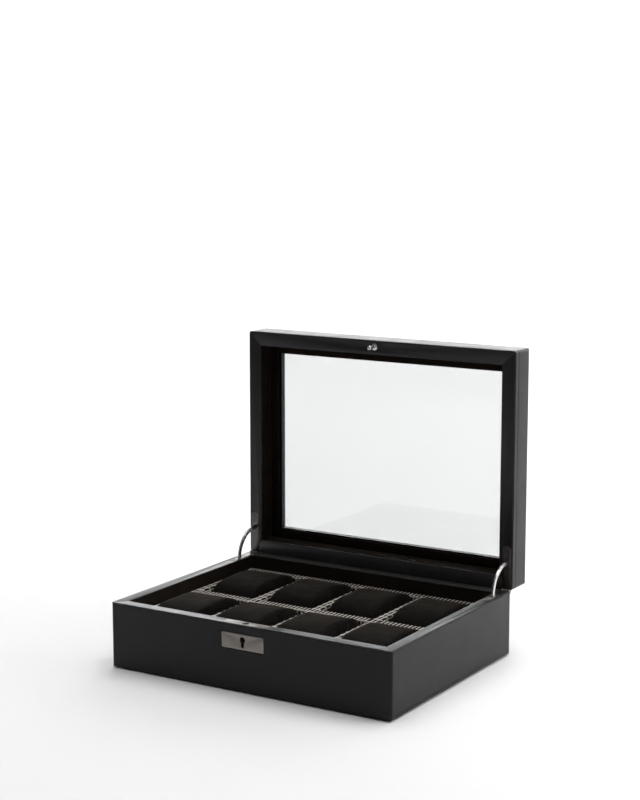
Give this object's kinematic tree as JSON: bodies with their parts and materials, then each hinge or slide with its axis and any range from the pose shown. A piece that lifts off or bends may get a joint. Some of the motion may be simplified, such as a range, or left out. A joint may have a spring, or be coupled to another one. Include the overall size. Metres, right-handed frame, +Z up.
{
  "type": "watch box",
  "caption": "Leather-covered watch box with a glass window in its hinged lid, lock, lined tray and lift-out pillows.",
  "frame": {"origin": "middle of the base's underside, on the surface that the box stands on", "axes": "+X to the right along the front, +Y from the front to the hinges, +Z up; the lid stands open at rest"},
  "size_m": [0.286, 0.2514, 0.2794],
  "materials": {
    "felt": "matt felt",
    "board": "dyed fibreboard",
    "leather": "smooth, semi-gloss",
    "rim_leather": "smooth, semi-gloss",
    "lining": "matt suede cloth",
    "patterned_fabric": "woven cloth with pale outlined ovals",
    "suede": "matt suede cloth",
    "lock_metal": "brushed, gunmetal",
    "lock_steel": "stamped",
    "lock_brass": "dull",
    "bright_metal": "polished",
    "hinge_metal": "satin, gunmetal",
    "glass": "clear"
  },
  "bodies": {
    "base": {"base_felt": "felt", "base_board": "board", "base_front_wall": "board", "base_rear_wall": "board", "base_left_wall": "board", "base_right_wall": "board", "base_cover": "leather", "base_rim_front": "rim_leather", "base_rim_rear": "rim_leather", "base_rim_left": "rim_leather", "base_rim_right": "rim_leather", "base_liner": "lining", "tray_floor": "patterned_fabric", "tray_front_rail": "patterned_fabric", "tray_rear_rail": "patterned_fabric", "tray_left_rail": "patterned_fabric", "tray_right_rail": "patterned_fabric", "divider_cross": "patterned_fabric", "divider_left": "patterned_fabric", "divider_middle": "patterned_fabric", "divider_right": "patterned_fabric", "lock_case": "lock_steel", "lock_plate": "lock_metal", "lock_top_plate": "lock_metal", "hinge_left_base_leaf": "hinge_metal", "hinge_right_base_leaf": "hinge_metal", "hinge_pins": "bright_metal", "base_hinge_screws": "bright_metal"},
    "lid": {"lid_front_wall": "board", "lid_rear_wall": "board", "lid_left_wall": "board", "lid_right_wall": "board", "lid_top_frame": "board", "lid_cover": "leather", "lid_rim_front": "rim_leather", "lid_rim_rear": "rim_leather", "lid_rim_left": "rim_leather", "lid_rim_right": "rim_leather", "lid_liner": "lining", "lid_glass": "glass", "glass_retainer": "leather", "lid_stud": "bright_metal", "hinge_left_lid_leaf": "hinge_metal", "hinge_right_lid_leaf": "hinge_metal", "lid_hinge_screws": "bright_metal"},
    "stay_left": {"stay_left": "bright_metal"},
    "stay_right": {"stay_right": "bright_metal"},
    "lock_barrel": {"lock_barrel": "lock_brass"},
    "pillow_rear_1": {"pillow_rear_1": "suede"},
    "pillow_rear_2": {"pillow_rear_2": "suede"},
    "pillow_rear_3": {"pillow_rear_3": "suede"},
    "pillow_rear_4": {"pillow_rear_4": "suede"},
    "pillow_front_1": {"pillow_front_1": "suede"},
    "pillow_front_2": {"pillow_front_2": "suede"},
    "pillow_front_3": {"pillow_front_3": "suede"},
    "pillow_front_4": {"pillow_front_4": "suede"}
  },
  "joints": [
    {"name": "lid_hinge", "type": "hinge", "parent": "base", "child": "lid", "pos_m": [0, 0.1104, 0.059], "axis": [-1, 0, 0], "range_deg": [-90, 0]},
    {"name": "stay_left_turn", "type": "hinge", "parent": "base", "child": "stay_left", "pos_m": [-0.1373, 0.1104, 0.059], "axis": [-1, 0, 0], "range_deg": [-49.5, 0]},
    {"name": "stay_right_turn", "type": "hinge", "parent": "base", "child": "stay_right", "pos_m": [0.1373, 0.1104, 0.059], "axis": [-1, 0, 0], "range_deg": [-49.5, 0]},
    {"name": "lock_turn", "type": "hinge", "parent": "base", "child": "lock_barrel", "pos_m": [-0.0025, -0.1038, 0.0445], "axis": [0, -1, 0], "range_deg": [0, 60]},
    {"name": "pillow_rear_1_lift", "type": "slide", "parent": "base", "child": "pillow_rear_1", "axis": [0, 0, 1], "range_m": [0, 0.06]},
    {"name": "pillow_rear_2_lift", "type": "slide", "parent": "base", "child": "pillow_rear_2", "axis": [0, 0, 1], "range_m": [0, 0.06]},
    {"name": "pillow_rear_3_lift", "type": "slide", "parent": "base", "child": "pillow_rear_3", "axis": [0, 0, 1], "range_m": [0, 0.06]},
    {"name": "pillow_rear_4_lift", "type": "slide", "parent": "base", "child": "pillow_rear_4", "axis": [0, 0, 1], "range_m": [0, 0.06]},
    {"name": "pillow_front_1_lift", "type": "slide", "parent": "base", "child": "pillow_front_1", "axis": [0, 0, 1], "range_m": [0, 0.06]},
    {"name": "pillow_front_2_lift", "type": "slide", "parent": "base", "child": "pillow_front_2", "axis": [0, 0, 1], "range_m": [0, 0.06]},
    {"name": "pillow_front_3_lift", "type": "slide", "parent": "base", "child": "pillow_front_3", "axis": [0, 0, 1], "range_m": [0, 0.06]},
    {"name": "pillow_front_4_lift", "type": "slide", "parent": "base", "child": "pillow_front_4", "axis": [0, 0, 1], "range_m": [0, 0.06]}
  ],
  "couplings": [
    {"joint": "stay_left_turn", "follows": "lid_hinge", "ratio": 0.55},
    {"joint": "stay_right_turn", "follows": "lid_hinge", "ratio": 0.55}
  ]
}
